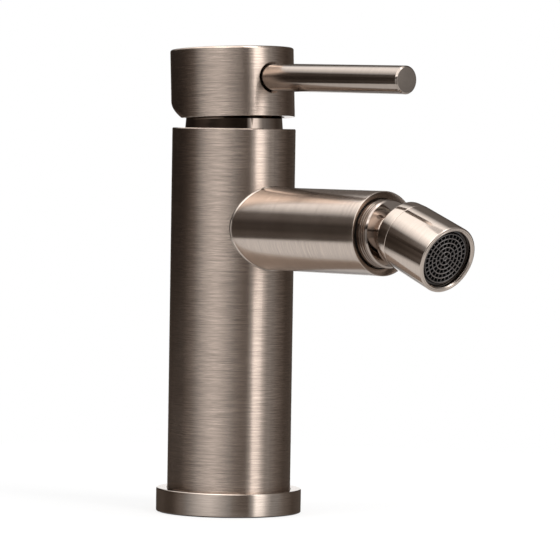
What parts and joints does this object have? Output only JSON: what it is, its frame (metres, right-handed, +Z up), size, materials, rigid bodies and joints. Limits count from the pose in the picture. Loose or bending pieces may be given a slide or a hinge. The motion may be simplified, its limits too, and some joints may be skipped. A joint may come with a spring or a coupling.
{
  "type": "bidet mixer",
  "caption": "Single-lever deck-mounted mixer: round column on a foot ring, tilting cup handle with a rod lever, and a side spout with a swivelling aerator nozzle.",
  "frame": {"origin": "centre of the foot's underside on the deck, on the column's axis", "axes": "+Z up along the column, +X along the spout and the lever, +Y to the left seen from behind"},
  "size_m": [0.1455, 0.053, 0.1697],
  "materials": {
    "brushed_nickel": "brushed nickel plating over brass, grain round the axis",
    "satin_nickel": "fine satin nickel plating over brass",
    "polished_nickel": "polished nickel plating over brass",
    "bare_brass": "machined, unplated",
    "plain_steel": "machined stainless steel",
    "ceramic": "lapped alumina ceramic",
    "cartridge_plastic": "moulded engineering plastic, off white",
    "rotor_plastic": "moulded engineering plastic, blue grey",
    "liner_plastic": "slippery bearing plastic, dark grey",
    "cap_plastic": "moulded cap, dark",
    "aerator_plastic": "moulded plastic, dark grey",
    "screen_plastic": "moulded plastic, grey",
    "black_rubber": "moulded rubber"
  },
  "bodies": {
    "root": {"base_flange": "satin_nickel", "base_gasket": "black_rubber", "body_column": "brushed_nickel", "spout_tube": "satin_nickel", "stud_ring": "black_rubber", "ball_stud": "polished_nickel", "cartridge_port_seals": "black_rubber", "cartridge_base": "cartridge_plastic", "ceramic_disc_seals": "black_rubber", "fixed_ceramic_disc": "ceramic", "cartridge_housing": "cartridge_plastic", "cartridge_nut": "bare_brass", "neck_cover": "polished_nickel", "neck_ring": "black_rubber"},
    "rotor": {"cartridge_rotor": "rotor_plastic", "spindle_pin": "plain_steel"},
    "mixing_disc": {"moving_ceramic_disc": "ceramic", "disc_carrier": "rotor_plastic"},
    "handle": {"cartridge_spindle": "bare_brass", "handle_hub": "brushed_nickel", "lever_rod": "satin_nickel", "lever_stud": "plain_steel", "handle_grub_screw": "plain_steel", "handle_plug": "cap_plastic"},
    "nozzle_pan_ring": {"ball_liner": "liner_plastic"},
    "nozzle_tilt_ring": {"nozzle_seal": "black_rubber"},
    "nozzle": {"nozzle_collar": "satin_nickel", "collar_washer": "black_rubber", "nozzle_sleeve": "satin_nickel", "aerator_washer": "black_rubber", "aerator_shell": "aerator_plastic", "aerator_screen": "screen_plastic", "aerator_grille": "aerator_plastic"}
  },
  "joints": [
    {"name": "temperature_swivel", "type": "hinge", "parent": "root", "child": "rotor", "pos_m": [0, 0, 0.133], "axis": [0, 0, 1], "range_deg": [-45, 45]},
    {"name": "flow_lift", "type": "hinge", "parent": "rotor", "child": "handle", "pos_m": [0, 0, 0.133], "axis": [0, -1, 0], "range_deg": [0, 22]},
    {"name": "disc_slide", "type": "slide", "parent": "rotor", "child": "mixing_disc", "axis": [1, 0, 0], "range_m": [0, 0.0034]},
    {"name": "nozzle_pan", "type": "hinge", "parent": "root", "child": "nozzle_pan_ring", "pos_m": [0.0934, 0, 0.1039], "axis": [0, 0, 1], "range_deg": [-16, 16]},
    {"name": "nozzle_tilt", "type": "hinge", "parent": "nozzle_pan_ring", "child": "nozzle_tilt_ring", "pos_m": [0.0934, 0, 0.1039], "axis": [0, 1, 0], "range_deg": [-42, 1.5]},
    {"name": "nozzle_spin", "type": "hinge", "parent": "nozzle_tilt_ring", "child": "nozzle", "pos_m": [0.0934, 0, 0.1039], "axis": [0.9367, 0, -0.3502], "continuous": true}
  ],
  "couplings": [
    {"joint": "disc_slide", "follows": "flow_lift", "m_per_rad": 0.008679}
  ]
}
